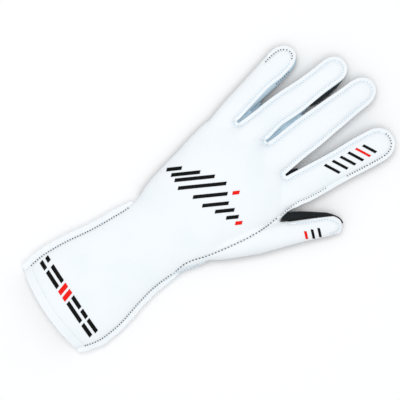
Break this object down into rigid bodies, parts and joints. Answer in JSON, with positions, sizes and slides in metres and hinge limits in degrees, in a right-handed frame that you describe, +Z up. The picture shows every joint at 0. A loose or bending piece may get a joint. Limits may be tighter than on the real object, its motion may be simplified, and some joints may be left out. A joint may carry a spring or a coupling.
{
  "type": "karting glove",
  "caption": "Long-cuff glove for the left hand with a padded grip palm, flat side seams and an open cuff, lying palm down.",
  "frame": {"origin": "centre of the footprint, on the surface that the glove lies on", "axes": "+Y from the cuff to the fingertips, +X towards the thumb, +Z up, out of the back of the hand"},
  "size_m": [0.1398, 0.293, 0.0245],
  "materials": {
    "white_cloth": "fine white stretch cloth, matte",
    "grey_white_cloth": "white knitted side wall, matte",
    "white_elastic": "gathered elastic, matte",
    "slate_suede": "slate synthetic suede",
    "black_cloth": "black stretch cloth",
    "black_grip": "printed silicone, satin",
    "red_grip": "printed silicone, satin",
    "white_grip": "printed silicone, satin"
  },
  "bodies": {
    "root": {"back_panel": "white_cloth", "cuff_palm": "white_cloth", "thumb_back": "white_cloth", "wrist_elastic": "white_elastic", "fourchette_pinky_ring": "grey_white_cloth", "fourchette_ring_middle": "grey_white_cloth", "fourchette_middle_index": "grey_white_cloth", "palm_panel": "slate_suede", "thumb_palm": "slate_suede", "thumb_gusset": "black_cloth", "palm_band_red": "red_grip", "palm_heel_red": "red_grip", "palm_field_white": "white_grip", "thumb_base_white": "white_grip", "capsule_inner": "white_grip", "capsule_middle": "red_grip", "capsule_outer": "white_grip", "grip_ribs_pinky": "black_grip", "tip_pad_pinky_outer": "white_grip", "tip_pad_pinky_inner": "white_grip", "grip_ribs_ring": "black_grip", "tip_pad_ring_outer": "white_grip", "tip_pad_ring_inner": "white_grip", "grip_ribs_middle": "black_grip", "tip_pad_middle_outer": "white_grip", "tip_pad_middle_inner": "white_grip", "grip_ribs_index": "black_grip", "tip_pad_index_outer": "black_grip", "tip_pad_index_inner": "red_grip", "grip_ribs_thumb": "black_grip", "tip_pad_thumb_outer": "black_grip", "tip_pad_thumb_inner": "red_grip"}
  },
  "joints": []
}
